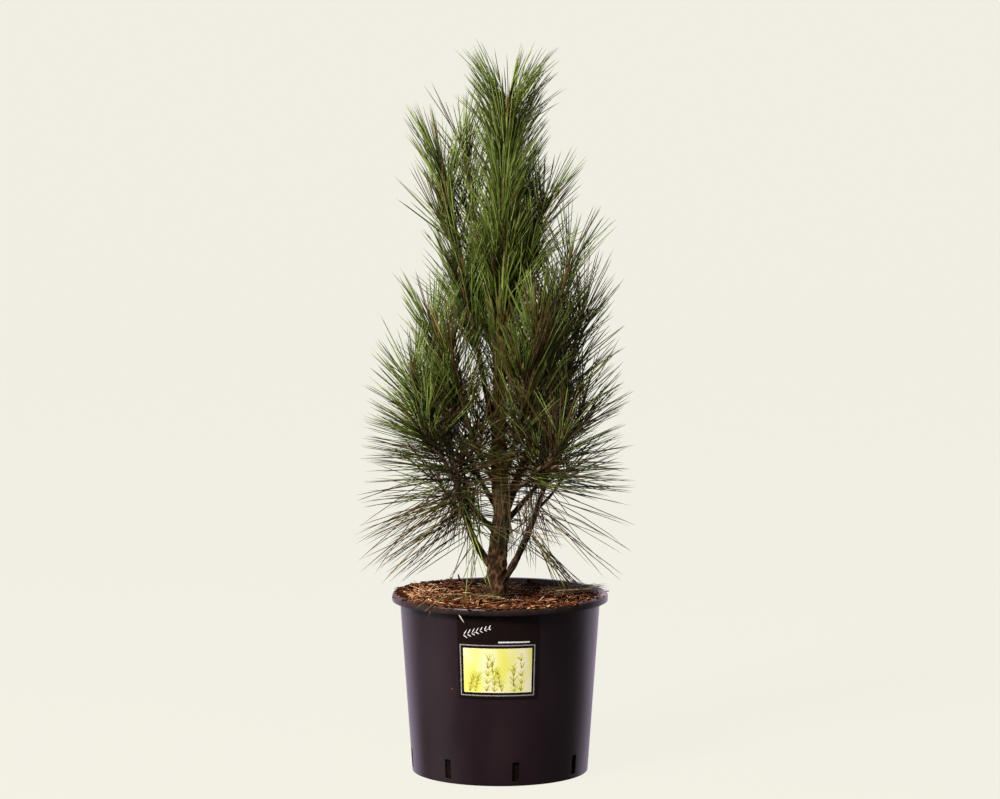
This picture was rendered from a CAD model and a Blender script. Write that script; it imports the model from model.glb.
# %% [markdown]
# # A potted green tower Austrian pine
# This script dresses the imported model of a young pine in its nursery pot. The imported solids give
# the true sizes and places. Each cell below replaces some of them with a finer piece: first the
# pot with its label and mulch, then the bark, the twigs and thousands of needles.

import math

import bpy
import numpy as np
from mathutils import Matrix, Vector


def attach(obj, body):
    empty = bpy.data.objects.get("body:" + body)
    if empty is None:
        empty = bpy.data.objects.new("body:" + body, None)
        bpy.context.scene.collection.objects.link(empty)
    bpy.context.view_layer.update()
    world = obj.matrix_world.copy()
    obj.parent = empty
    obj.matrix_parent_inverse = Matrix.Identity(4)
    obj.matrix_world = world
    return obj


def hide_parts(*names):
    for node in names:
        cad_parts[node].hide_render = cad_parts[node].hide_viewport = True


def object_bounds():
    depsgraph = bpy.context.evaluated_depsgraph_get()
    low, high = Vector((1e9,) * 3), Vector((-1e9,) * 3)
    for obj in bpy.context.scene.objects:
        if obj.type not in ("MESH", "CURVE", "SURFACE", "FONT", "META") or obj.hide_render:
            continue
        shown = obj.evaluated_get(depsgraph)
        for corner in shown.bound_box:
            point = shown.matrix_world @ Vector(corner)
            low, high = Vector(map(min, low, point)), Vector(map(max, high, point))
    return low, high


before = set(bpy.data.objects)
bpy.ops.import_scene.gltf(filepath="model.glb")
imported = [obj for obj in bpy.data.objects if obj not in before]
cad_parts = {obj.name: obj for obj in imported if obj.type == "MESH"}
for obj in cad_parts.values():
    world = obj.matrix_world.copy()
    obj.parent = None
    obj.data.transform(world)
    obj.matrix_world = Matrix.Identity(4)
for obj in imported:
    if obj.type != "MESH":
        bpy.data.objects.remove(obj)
cad_box = [list(corner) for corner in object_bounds()]
bpy.ops.object.select_all(action="DESELECT")
print("CAD box", [[round(v, 4) for v in corner] for corner in cad_box])

# %% [markdown]
# A material is easier to read when its sums look like sums. Value wraps one socket, so that
# writing a * b + 0.2 adds the Math nodes, and Finish holds one material while it is made. Any
# other node comes from its node method, which takes the settings first and then the sockets.

# %% Small helpers for materials
NOISE_LOW, NOISE_HIGH = 0.35, 0.65
ACROSS, UP = 0, 2


class Value:
    """One output socket that can be added, subtracted and multiplied."""

    def __init__(self, tree, socket):
        self.tree = tree
        self.socket = socket

    def math(self, operation, first, second):
        node = self.tree.nodes.new("ShaderNodeMath")
        node.operation = operation
        for place, item in zip(node.inputs, (first, second)):
            if isinstance(item, Value):
                self.tree.links.new(item.socket, place)
            else:
                place.default_value = item
        return Value(self.tree, node.outputs[0])

    def __add__(self, other):
        return self.math("ADD", self, other)

    def __mul__(self, other):
        return self.math("MULTIPLY", self, other)

    def __sub__(self, other):
        return self.math("SUBTRACT", self, other)

    def __rsub__(self, other):
        return self.math("SUBTRACT", other, self)

    __radd__ = __add__
    __rmul__ = __mul__


class Finish:
    """A material while it is made: a Principled shader and the nodes in front of it."""

    def __init__(self, name, colour, roughness):
        self.material = bpy.data.materials.new(name)
        self.material.use_nodes = True
        self.tree = self.material.node_tree
        self.shader = self.tree.nodes["Principled BSDF"]
        self.feed("Base Color", (*colour, 1))
        self.feed("Roughness", roughness)

    def link(self, node, socket, item):
        if isinstance(item, Value):
            self.tree.links.new(item.socket, node.inputs[socket])
        else:
            node.inputs[socket].default_value = item

    def feed(self, socket, item):
        self.link(self.shader, socket, item)

    def node(self, kind, settings=None, output=0, **sockets):
        node = self.tree.nodes.new("ShaderNode" + kind)
        for key, setting in (settings or {}).items():
            setattr(node, key, setting)
        for key, item in sockets.items():
            self.link(node, key.replace("_", " "), item)
        return Value(self.tree, node.outputs[output])

    def place(self):
        return self.node("TexCoord", output=3)

    def coordinate(self, axis):
        return self.node("SeparateXYZ", output=axis, Vector=self.place())

    def noise(self, scale, detail=4.0, stretch=(1, 1, 1)):
        spot = self.node("Mapping", Vector=self.place(), Scale=stretch)
        return self.node("TexNoise", Vector=spot, Scale=scale, Detail=detail)

    def cells(self, scale, stretch=(1, 1, 1)):
        spot = self.node("Mapping", Vector=self.place(), Scale=stretch)
        return self.node("TexVoronoi", Vector=spot, Scale=scale)

    def between(self, low, high, amount):
        """A colour mixed from two by amount, stretched so that noise uses its whole range."""
        spread = self.node(
            "MapRange", {"clamp": True}, Value=amount, From_Min=NOISE_LOW, From_Max=NOISE_HIGH)
        node = self.tree.nodes.new("ShaderNodeMix")
        node.data_type = "RGBA"
        self.tree.links.new(spread.socket, node.inputs[0])
        for place, item in zip((6, 7), (low, high)):
            self.link(node, place, item if isinstance(item, Value) else (*item, 1))
        return Value(self.tree, node.outputs[2])

    def bump(self, height, distance, strength=1.0):
        made = self.node("Bump", Height=height, Distance=distance, Strength=strength)
        self.feed("Normal", made)


# %% [markdown]
# The camera stands where the photograph was taken from: about four metres away, a little below
# the plant's top, and tipped slightly down. Floor and wall are one pale paper bowl all round. It
# glows just enough to show as white paper does, takes a faint shadow, and sends no light to the
# plant, which the lamps do alone.

# %% The camera
CAMERA_PLACE = (0, -4.2, 0.8585)
CAMERA_DOWN = math.radians(5.106)
CAMERA_LENS = 117.5
SENSOR_WIDTH = 36
FARTHEST_SEEN = 60

bpy.ops.object.camera_add(location=CAMERA_PLACE, rotation=(math.pi / 2 - CAMERA_DOWN, 0, 0))
camera = bpy.context.object
camera.data.lens = CAMERA_LENS
camera.data.sensor_width = SENSOR_WIDTH
camera.data.clip_end = FARTHEST_SEEN
bpy.context.scene.camera = camera
bpy.context.scene.view_settings.view_transform = "Standard"
print("camera lens", CAMERA_LENS)

# %% The paper bowl
PAPER = (0.879, 0.855, 0.768)
PAPER_GLOW = 0.992
PAPER_SHADE = 0.02
BOWL_RADIUS = 8.0
BOWL_BEND = 2.5
BEND_STEPS = 12
BOWL_WALL = 6
BELOW_POT = 0.0006

bpy.ops.mesh.primitive_circle_add(
    vertices=96, radius=BOWL_RADIUS, fill_type="NGON", location=(0, 0, -BELOW_POT))
bowl = bpy.context.object
bowl.name = "backdrop"
bpy.ops.object.mode_set(mode="EDIT")
bpy.ops.mesh.select_all(action="SELECT")
for step in range(BEND_STEPS):
    low = math.pi / 2 * step / BEND_STEPS
    high = math.pi / 2 * (step + 1) / BEND_STEPS
    rise = BOWL_BEND * (math.cos(low) - math.cos(high))
    wider = (BOWL_RADIUS + BOWL_BEND * math.sin(high)) / (BOWL_RADIUS + BOWL_BEND * math.sin(low))
    bpy.ops.mesh.extrude_region_move(TRANSFORM_OT_translate={"value": (0, 0, rise)})
    bpy.ops.transform.resize(value=(wider, wider, 1), center_override=(0, 0, 0))
bpy.ops.mesh.extrude_region_move(TRANSFORM_OT_translate={"value": (0, 0, BOWL_WALL)})
bpy.ops.mesh.delete(type="FACE")
bpy.ops.object.mode_set(mode="OBJECT")
bpy.ops.object.shade_smooth()
bowl.visible_diffuse = False
bowl.visible_glossy = False
bowl.visible_shadow = False
paper = Finish("paper", tuple(PAPER_SHADE * part for part in PAPER), 0.9)
paper.feed("Specular IOR Level", 0)
paper.feed("Emission Color", (*PAPER, 1))
paper.feed("Emission Strength", PAPER_GLOW)
bowl.data.materials.append(paper.material)
print("paper bowl", len(bowl.data.polygons), "faces")

# %% [markdown]
# Soft boxes light the plant: a large one high on the left in front, where the needles shine most,
# and a weak one on the right. The room in front is dim, so the pot stays nearly black. Two pale
# cards show only in reflections: the one behind the plant draws the soft lines down the pot's
# sides, and the one on the left brightens its left half.

# %% The lights
CROWN_MIDDLE = (0, 0, 0.5)
ROOM_TINT = (1.0, 0.97, 0.94, 1)
ROOM_LIGHT = 0.14


def soft_box(name, place, size, power, tint):
    bpy.ops.object.light_add(type="AREA", location=place)
    lamp = bpy.context.object
    lamp.name = name
    lamp.data.shape = "RECTANGLE"
    lamp.data.size, lamp.data.size_y = size
    lamp.data.energy = power
    lamp.data.color = tint
    lamp.visible_camera = False
    aim = Vector(CROWN_MIDDLE) - Vector(place)
    lamp.rotation_euler = aim.to_track_quat("-Z", "Y").to_euler()


soft_box("key_light", (-2.0, -2.3, 2.5), size=(1.0, 1.0), power=285, tint=(1, 0.97, 0.92))
soft_box("fill_light", (2.6, -2.0, 1.4), size=(1.2, 1.6), power=14, tint=(1, 0.94, 0.92))


def reflector(name, place, turn, size, tint, strength):
    """A glowing card that shows only in reflections."""
    bpy.ops.mesh.primitive_plane_add(size=1, location=place, rotation=(math.pi / 2, 0, turn))
    card = bpy.context.object
    card.name = name
    card.scale = (*size, 1)
    shine = Finish(name, (0, 0, 0), 1)
    shine.feed("Emission Color", (*tint, 1))
    shine.feed("Emission Strength", strength)
    card.data.materials.append(shine.material)
    card.visible_camera = False
    card.visible_diffuse = False
    card.visible_shadow = False


reflector("back_card", (0, 2.8, 0.6), 0, (8, 4.4), tint=(0.91, 0.77, 0.98), strength=1.6)
reflector("left_card", (-3, -0.5, 0), math.pi / 2, (2.2, 4), tint=(1, 0.98, 1), strength=0.95)

room = bpy.data.worlds.new("studio")
bpy.context.scene.world = room
room.use_nodes = True
background = room.node_tree.nodes["Background"]
background.inputs["Color"].default_value = ROOM_TINT
background.inputs["Strength"].default_value = ROOM_LIGHT
print("room light", ROOM_LIGHT)

# %% [markdown]
# Thousands of small things, such as needles, fibres and buds, are all spindles: a few rings along
# a bent line, closed by a point. One function makes any number of them as a single mesh from
# arrays, which is the only quick way, and deals each one a material by its number. Where all are
# alike in length, width or colour, one number does for them all.

# %% Spindles from arrays


def unit(rows):
    return rows / np.linalg.norm(rows, axis=-1, keepdims=True)


def spindles(name, roots, ways, lengths, widths, finishes, sides, profile,
             shades=0, bends=0, flat=1):
    """One mesh of many bent, pointed rods. The profile lists (share of length, share of width).
    Each shade is a number in the list of finishes. flat gives the second width as a share of the
    first, for fibres that lie on their broad side."""
    count = len(roots)
    lengths, widths, shades, flat = [
        np.broadcast_to(row, count) for row in (lengths, widths, shades, flat)]
    ways = unit(ways)
    helper = np.tile((0.0, 0.0, 1.0), (count, 1))
    helper[np.abs(ways[:, 2]) > 0.95] = (1.0, 0.0, 0.0)
    side = unit(np.cross(ways, helper))
    over = np.cross(side, ways)
    turns = 2 * np.pi * np.arange(sides) / sides
    rings = []
    for share, width in profile:
        centre = roots + ways * (lengths * share)[:, None] + bends * (lengths * share**2)[:, None]
        for turn in turns:
            across = side * np.cos(turn) + over * (flat * np.sin(turn))[:, None]
            rings.append(centre + across * (widths * width / 2)[:, None])
    rings.append(roots + ways * lengths[:, None] + bends * lengths[:, None])
    each = len(rings)
    points = np.stack(rings, axis=1).reshape(-1, 3)
    faces = []
    for ring in range(len(profile) - 1):
        for i in range(sides):
            j = (i + 1) % sides
            a, b = ring * sides + i, ring * sides + j
            faces += [(a, b + sides, b), (a, a + sides, b + sides)]
    last = (len(profile) - 1) * sides
    faces += [(last + i, each - 1, last + (i + 1) % sides) for i in range(sides)]
    faces += [(0, i, i + 1) for i in range(1, sides - 1)]
    faces = np.array(faces)
    corners = (faces[None] + (np.arange(count) * each)[:, None, None]).reshape(-1)
    mesh = bpy.data.meshes.new(name)
    mesh.vertices.add(len(points))
    mesh.vertices.foreach_set("co", points.astype(np.float32).ravel())
    mesh.loops.add(len(corners))
    mesh.loops.foreach_set("vertex_index", corners.astype(np.int32))
    total = len(corners) // 3
    mesh.polygons.add(total)
    mesh.polygons.foreach_set("loop_start", np.arange(total, dtype=np.int32) * 3)
    mesh.polygons.foreach_set("material_index", np.repeat(shades, len(faces)).astype(np.int32))
    mesh.polygons.foreach_set("use_smooth", np.ones(total, dtype=bool))
    mesh.update(calc_edges=True)
    for finish in finishes:
        mesh.materials.append(finish)
    piece = bpy.data.objects.new(name, mesh)
    bpy.context.collection.objects.link(piece)
    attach(piece, "root")
    return piece


def triangles(piece):
    return sum(len(face.vertices) - 2 for face in piece.data.polygons)


# %% [markdown]
# The pot is a moulded black container. It is drawn as by hand: a flat disc for its foot, whose
# edge is extruded and scaled up the wall, out and down over the turned lip, back over the top and
# down the inside to the floor. Later a bevel rounds its mould edges.

# %% The pot's sizes
POT_HEIGHT = 0.232
FOOT_RADIUS = 0.1142
WALL_TAPER = 0.070
WALL = 0.002
FLOOR = 0.003
RIM_RADIUS = 0.140
LIP_DROP = 0.0095
LIP_ROUND = 0.004
LIP_STEPS = 6
FOOT_BAND = 0.004
MID_WALL = 0.12
POT_CORNERS = 192


def wall_radius(z):
    return FOOT_RADIUS + WALL_TAPER * z


def inner_radius(z):
    return wall_radius(z) - WALL


# %% Picking, editing and applying


def pick(piece):
    bpy.ops.object.select_all(action="DESELECT")
    bpy.context.view_layer.objects.active = piece
    piece.select_set(True)


def edit(piece):
    pick(piece)
    bpy.ops.object.mode_set(mode="EDIT")


def leave_edit():
    bpy.ops.object.mode_set(mode="OBJECT")


def apply_all(piece):
    pick(piece)
    for modifier in list(piece.modifiers):
        bpy.ops.object.modifier_apply(modifier=modifier.name)


# %% The pot's shell


def pot_rings():
    """Radius and height of each ring, from the foot's edge over the lip to the inside floor."""
    under = POT_HEIGHT - WALL
    rings = [(FOOT_RADIUS, 0.0)]
    rings += [(wall_radius(height), height) for height in (FOOT_BAND, MID_WALL, under)]
    rings += [(RIM_RADIUS - WALL, under)]
    rings += [(RIM_RADIUS - WALL, POT_HEIGHT - LIP_DROP), (RIM_RADIUS, POT_HEIGHT - LIP_DROP)]
    for step in range(LIP_STEPS + 1):
        turn = math.pi / 2 * step / LIP_STEPS
        out = RIM_RADIUS - LIP_ROUND * (1 - math.cos(turn))
        rings.append((out, POT_HEIGHT - LIP_ROUND * (1 - math.sin(turn))))
    rings += [(inner_radius(POT_HEIGHT), POT_HEIGHT), (inner_radius(FLOOR), FLOOR)]
    return rings


bpy.ops.mesh.primitive_circle_add(
    vertices=POT_CORNERS, radius=FOOT_RADIUS, fill_type="NGON", location=(0, 0, 0))
pot = bpy.context.object
pot.name = "pot_shell"
edit(pot)
steps = pot_rings()
for (radius, height), (next_radius, next_height) in zip(steps, steps[1:]):
    bpy.ops.mesh.extrude_region_move(
        TRANSFORM_OT_translate={"value": (0, 0, next_height - height)})
    wider = next_radius / radius
    bpy.ops.transform.resize(value=(wider, wider, 1), center_override=(0, 0, next_height))
bpy.ops.mesh.select_all(action="SELECT")
bpy.ops.mesh.normals_make_consistent(inside=False)
leave_edit()
print("pot", triangles(pot), "triangles before its edges are rounded")

# %% [markdown]
# A narrow bevel rounds the pot's edges. Eight drain slots then pierce the foot of the wall: each is
# cut by a box with round corners, and one Boolean with all the boxes joined is the quickest way.

# %% Rounded edges and drain slots
SLOT_COUNT = 8
SLOT_TURN = math.radians(-80)
SLOT_WIDTH = 0.009
SLOT_BOTTOM, SLOT_TOP = 0.006, 0.031
SLOT_MIDDLE = (SLOT_BOTTOM + SLOT_TOP) / 2
SLOT_DEPTH = 0.02
SLOT_ROUND = 0.0015
MOULD_ROUND = 0.0006
SHARP_FROM = math.radians(35)
SMOOTH_UNDER = math.radians(30)

rounding = pot.modifiers.new("mould_edges", "BEVEL")
rounding.width = MOULD_ROUND
rounding.segments = 2
rounding.limit_method = "ANGLE"
rounding.angle_limit = SHARP_FROM
apply_all(pot)

slots = []
for i in range(SLOT_COUNT):
    turn = SLOT_TURN + 2 * math.pi * i / SLOT_COUNT
    middle = (FOOT_RADIUS * math.cos(turn), FOOT_RADIUS * math.sin(turn), SLOT_MIDDLE)
    bpy.ops.mesh.primitive_cube_add(
        size=1, location=middle, rotation=(0, 0, turn),
        scale=(SLOT_DEPTH, SLOT_WIDTH, SLOT_TOP - SLOT_BOTTOM))
    slot = bpy.context.object
    bpy.ops.object.transform_apply(location=True, rotation=True, scale=True)
    corner = slot.modifiers.new("corner", "BEVEL")
    corner.width = SLOT_ROUND
    corner.segments = 3
    apply_all(slot)
    slots.append(slot)
bpy.ops.object.select_all(action="DESELECT")
for slot in slots:
    slot.select_set(True)
bpy.context.view_layer.objects.active = slots[0]
bpy.ops.object.join()
cutter = bpy.context.object
cut = pot.modifiers.new("slots", "BOOLEAN")
cut.operation = "DIFFERENCE"
cut.object = cutter
apply_all(pot)
bpy.data.objects.remove(cutter)
bpy.ops.object.shade_smooth_by_angle(angle=SMOOTH_UNDER)
print("pot with slots", triangles(pot), "triangles")

# %% [markdown]
# The plastic is nearly black with a touch of violet brown, and satin: broad soft streaks where it
# has been rubbed, a very fine grain from the mould, and brown dust from the mulch on the lip. The
# lip's right end is scuffed pale.

# %% The pot's plastic
plastic = Finish("pot_plastic", (0.013, 0.0058, 0.0090), 0.4)
plastic.feed("Specular IOR Level", 0.3)
rub = plastic.noise(14.0, 5.0, (1, 1, 0.35))
grain = plastic.noise(900.0, 2.0)
black = plastic.between((0.0095, 0.0034, 0.0058), (0.0170, 0.0074, 0.0105), rub)
dust = plastic.between((0.011, 0.0046, 0.0044), (0.036, 0.017, 0.011), plastic.noise(70.0, 6.0))
speck = plastic.noise(420.0, 4.0)
at_right_end = (plastic.coordinate(ACROSS) - RIM_RADIUS) * 28 + speck * 0.9 + 0.20
dust = plastic.between(dust, (0.24, 0.20, 0.21), at_right_end)
on_lip = (plastic.coordinate(UP) - POT_HEIGHT + LIP_DROP) * 60 + rub * 0.6
plastic.feed("Base Color", plastic.between(black, dust, on_lip))
plastic.feed("Roughness", rub * 0.22 + 0.30)
plastic.bump(grain * 0.4 + rub * 0.6, 0.0004, 0.35)
pot.data.materials.append(plastic.material)
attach(pot, "root")
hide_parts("pot")
print("pot plastic", len(plastic.tree.nodes), "nodes")

# %% [markdown]
# The potting soil under the bark shows only in the drain slots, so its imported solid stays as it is
# and gets a dark, crumbly finish.

# %% The potting soil
soil = Finish("soil", (0.008, 0.005, 0.004), 0.95)
crumb = soil.noise(220.0, 6.0)
soil.feed("Base Color", soil.between((0.002, 0.0014, 0.001), (0.010, 0.006, 0.004), crumb))
soil.feed("Specular IOR Level", 0.05)
soil.bump(crumb, 0.002)
soil_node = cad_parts["potting_soil"]
soil_node.data.materials.clear()
soil_node.data.materials.append(soil.material)
print("soil", len(soil.tree.nodes), "nodes")

# %% [markdown]
# The label is a thin printed film stuck under the lip. Its shapes are drawn flat, in metres across
# and up, and then wrapped round the tapered wall, each a hair above the one beneath it. The
# picture is a generic one: leafy sprigs on a pale ground.

# %% Wrapping flat shapes round the wall
LABEL_TURN = math.radians(-91.3)
LABEL_WIDTH = 0.103
LABEL_BOTTOM, LABEL_TOP = 0.114, 0.2185
LABEL_MIDDLE = 0.16
LABEL_GAP = 0.0003
LABEL_THICKNESS = 0.0008


def wrap(piece):
    """Bends a flat piece round the wall: x runs along it, z up it and -y out of it."""
    for vert in piece.data.vertices:
        x, y, z = vert.co
        turn = LABEL_TURN + x / wall_radius(LABEL_MIDDLE)
        out = wall_radius(z) + LABEL_GAP - y
        vert.co = (out * math.cos(turn), out * math.sin(turn), z)


def slab(name, left, right, bottom, top, lift, thickness, finish, border=0):
    """A thin plate, or with a border only its frame, wrapped round the wall."""
    bpy.ops.mesh.primitive_plane_add(size=1, location=(0, 0, 0), rotation=(math.pi / 2, 0, 0))
    piece = bpy.context.object
    piece.name = name
    bpy.ops.object.transform_apply(location=False, rotation=True, scale=False)
    middle = Vector(((left + right) / 2, -lift, (bottom + top) / 2))
    for vert in piece.data.vertices:
        vert.co = Vector((vert.co.x * (right - left), 0, vert.co.z * (top - bottom))) + middle
    edit(piece)
    bpy.ops.mesh.select_all(action="SELECT")
    if border:
        bpy.ops.mesh.inset(thickness=border)
        bpy.ops.mesh.delete(type="FACE")
        bpy.ops.mesh.select_all(action="SELECT")
    bpy.ops.mesh.subdivide(number_cuts=24)
    bpy.ops.mesh.extrude_region_move(TRANSFORM_OT_translate={"value": (0, -thickness, 0)})
    bpy.ops.mesh.select_all(action="SELECT")
    bpy.ops.mesh.normals_make_consistent(inside=False)
    leave_edit()
    wrap(piece)
    piece.data.materials.append(finish)
    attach(piece, "root")
    return piece


# %% The label's inks
film = Finish("label_film", (0.0075, 0.0032, 0.0032), 0.28)
film.feed("Specular IOR Level", 0.2)
scuff = film.noise(60.0, 3.0)
film.feed("Roughness", scuff * 0.25 + 0.16)
ink = Finish("label_line", (0.27, 0.25, 0.25), 0.5)
ink.feed("Base Color", ink.between((0.20, 0.185, 0.19), (0.33, 0.31, 0.30), ink.noise(400.0)))
ground = Finish("picture_ground", (0.72, 0.74, 0.42), 0.45)
wash = ground.noise(42.0, 1.5, (1, 1, 0.5))
ground.feed("Base Color", ground.between((0.84, 0.79, 0.54), (0.74, 0.72, 0.14), wash))
leaves = []
for name, dark, bright in (
        ("picture_green", (0.42, 0.50, 0.02), (0.60, 0.66, 0.06)),
        ("picture_gold", (0.60, 0.48, 0.02), (0.80, 0.70, 0.08)),
        ("picture_olive", (0.20, 0.18, 0.02), (0.40, 0.36, 0.04))):
    leaf = Finish(name, bright, 0.45)
    leaf.feed("Base Color", leaf.between(dark, bright, leaf.noise(160.0)))
    leaves.append(leaf.material)
white = Finish("label_white", (0.72, 0.70, 0.70), 0.5)
white.feed("Base Color", white.between((0.60, 0.58, 0.58), (0.82, 0.80, 0.80), white.noise(300.0)))

# %% The label's flat pieces
FRAME_LINE = 0.0013
PRINT = 0.0002
LIFT = LABEL_THICKNESS

half = LABEL_WIDTH / 2
label = slab(
    "label_plate", -half, half, LABEL_BOTTOM, LABEL_TOP, 0, LABEL_THICKNESS, film.material)
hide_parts("label")
slab("label_border", -0.0485, 0.0475, 0.1175, 0.1835, LIFT, PRINT, ink.material, FRAME_LINE)
slab("label_picture", -0.0440, 0.0435, 0.1220, 0.1790, LIFT, PRINT, ground.material)
slab("label_bar", 0.0005, 0.0400, 0.1862, 0.1880, LIFT, PRINT, white.material)
print("label", LABEL_WIDTH * 1000, "mm wide")

# %% Strokes on the label
SPRIG_PROFILE = ((0, 0.5), (0.4, 1), (0.8, 0.6))
STROKE_HEIGHT = 0.0001


def draw_strokes(name, feet, turns, lengths, widths, lift, finishes, shades=0):
    """Flat pointed strokes on the label, each by its foot, its turn from upright and its length."""
    count = len(feet)
    roots = np.column_stack([feet[:, 0], np.full(count, -lift), feet[:, 1]])
    ways = np.column_stack([np.sin(turns), np.zeros(count), np.cos(turns)])
    piece = spindles(
        name, roots, ways, lengths, STROKE_HEIGHT, finishes, 4, SPRIG_PROFILE,
        shades=shades, flat=widths / STROKE_HEIGHT)
    wrap(piece)
    print(name, count, "strokes")


# %% Sprigs in the picture
STROKE_WIDTH = 0.0006
PICTURE_FOOT, PICTURE_SIDE = 0.1235, 0.040
ABOVE_PICTURE = 0.00025
TWIG_FEET = (-0.036, -0.029, -0.014, -0.004, 0.005, 0.021, 0.030)
TUFTS_EACH = 5
STROKES_EACH = 12

dice = np.random.default_rng(5)
up = np.tile(np.linspace(0, 1, TUFTS_EACH), len(TWIG_FEET))
twig_turns = np.repeat(dice.uniform(-0.25, 0.35, len(TWIG_FEET)), TUFTS_EACH)
twig_reach = np.repeat(dice.uniform(0.016, 0.040, len(TWIG_FEET)), TUFTS_EACH)
sideways = np.repeat(TWIG_FEET, TUFTS_EACH) + up * twig_reach * np.sin(twig_turns)
middles = np.column_stack([sideways, PICTURE_FOOT + up * twig_reach])
feet = np.repeat(middles, STROKES_EACH, axis=0)
count = len(feet)
turns = np.clip(np.repeat(twig_turns, STROKES_EACH) + dice.normal(0, 0.50, count), -1.2, 1.2)
lengths = dice.uniform(0.006, 0.0125, count)
lengths[np.abs(feet[:, 0] + np.sin(turns) * lengths) > PICTURE_SIDE] *= 0.3
shades = dice.choice(3, count, p=(0.42, 0.40, 0.18))
draw_strokes("label_tufts", feet, turns, lengths, STROKE_WIDTH, LIFT + ABOVE_PICTURE, leaves, shades)

# %% A leafy ornament over the picture
LEAF_PAIRS = 7
LEAF_WIDTH, STALK_WIDTH = 0.0016, 0.0008
STALK_LENGTH = 0.040
ABOVE_FILM = 0.0001

share = np.linspace(0, 1, LEAF_PAIRS)
line = np.column_stack([-0.0430 + 0.032 * share, 0.1945 + 0.010 * share])
turns = np.concatenate([np.full(LEAF_PAIRS, 0.50), np.full(LEAF_PAIRS, 2.05), [1.27]])
lengths = np.concatenate([0.0095 - 0.004 * share, 0.0065 - 0.003 * share, [STALK_LENGTH]])
widths = np.concatenate([np.full(2 * LEAF_PAIRS, LEAF_WIDTH), [STALK_WIDTH]])
feet = np.concatenate([line, line, line[:1]])
draw_strokes("label_ornament", feet, turns, lengths, widths, LIFT + ABOVE_FILM, [white.material])

# %% [markdown]
# Shredded bark covers the soil. Under it lies an uneven bed, so that no gap shows, and on it some
# thousands of bark slivers and long fibres, in five plain browns, laid at random and mostly flat.
# Finer chips are left on the pot's lip, in front and at the left.

# %% The mulch bed
MULCH_EDGE = 0.2262
MULCH_RADIUS = 0.127
MULCH_HOLLOW = 0.001
HEAP_HEIGHT = 0.0054
HEAP_FROM, HEAP_SPAN = 0.02, 0.08
BED_FOOT = 0.2005
BED_RADIUS = inner_radius(0.205) - 0.0004
BED_RINGS, RING_STEP = 14, 0.0082
BED_BELOW_TOP = 0.0022
BED_GRAIN = 0.0006


def mulch_height(x, y):
    """The mulch's top at a spot: nearly level, heaped on the left, with lumps all over."""
    hollow = MULCH_HOLLOW * (1 - (x * x + y * y) / MULCH_RADIUS**2)
    heap = HEAP_HEIGHT * np.clip((-x - HEAP_FROM) / HEAP_SPAN, -0.30, 1)
    lumps = 0.0012 * np.sin(95 * x + 1) * np.cos(80 * y) + 0.0008 * np.sin(150 * (x - y))
    return MULCH_EDGE - hollow + heap + lumps


bpy.ops.mesh.primitive_circle_add(
    vertices=96, radius=BED_RADIUS, fill_type="NGON", location=(0, 0, BED_FOOT))
bed = bpy.context.object
bed.name = "mulch_bed"
bpy.ops.object.transform_apply(location=True, rotation=False, scale=False)
edit(bed)
bpy.ops.mesh.extrude_region_move(TRANSFORM_OT_translate={"value": (0, 0, MULCH_EDGE - BED_FOOT)})
for _ in range(BED_RINGS):
    bpy.ops.mesh.inset(thickness=RING_STEP)
leave_edit()
dice = np.random.default_rng(7)
for vert in bed.data.vertices:
    if vert.co.z > (BED_FOOT + MULCH_EDGE) / 2:
        vert.co.z = mulch_height(vert.co.x, vert.co.y) - BED_BELOW_TOP + dice.normal(0, BED_GRAIN)
compost = Finish("mulch_bed", (0.07, 0.035, 0.018), 0.95)
crumbs = compost.noise(160.0, 8.0)
compost.feed("Base Color", compost.between((0.020, 0.008, 0.003), (0.16, 0.055, 0.016), crumbs))
compost.feed("Specular IOR Level", 0)
compost.bump(crumbs, 0.004)
bed.data.materials.append(compost.material)
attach(bed, "root")
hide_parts("bark_mulch")
print("mulch bed", triangles(bed), "triangles")

# %% Bark slivers and fibres
BROWNS = {
    "mulch_dark": (0.024, 0.007, 0.003),
    "mulch_red": (0.105, 0.030, 0.012),
    "mulch_brown": (0.190, 0.080, 0.036),
    "mulch_orange": (0.450, 0.205, 0.090),
    "mulch_tan": (0.800, 0.510, 0.310),
}
SLIVER_PROFILE = ((0, 0.55), (0.3, 1), (0.75, 0.9), (0.97, 0.45))
WALL_CLEAR = 0.0015
TRUNK_CLEAR = 0.016
browns = []
for name, colour in BROWNS.items():
    sliver = Finish(name, colour, 0.85)
    sliver.feed("Specular IOR Level", 0.02)
    browns.append(sliver.material)


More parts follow.
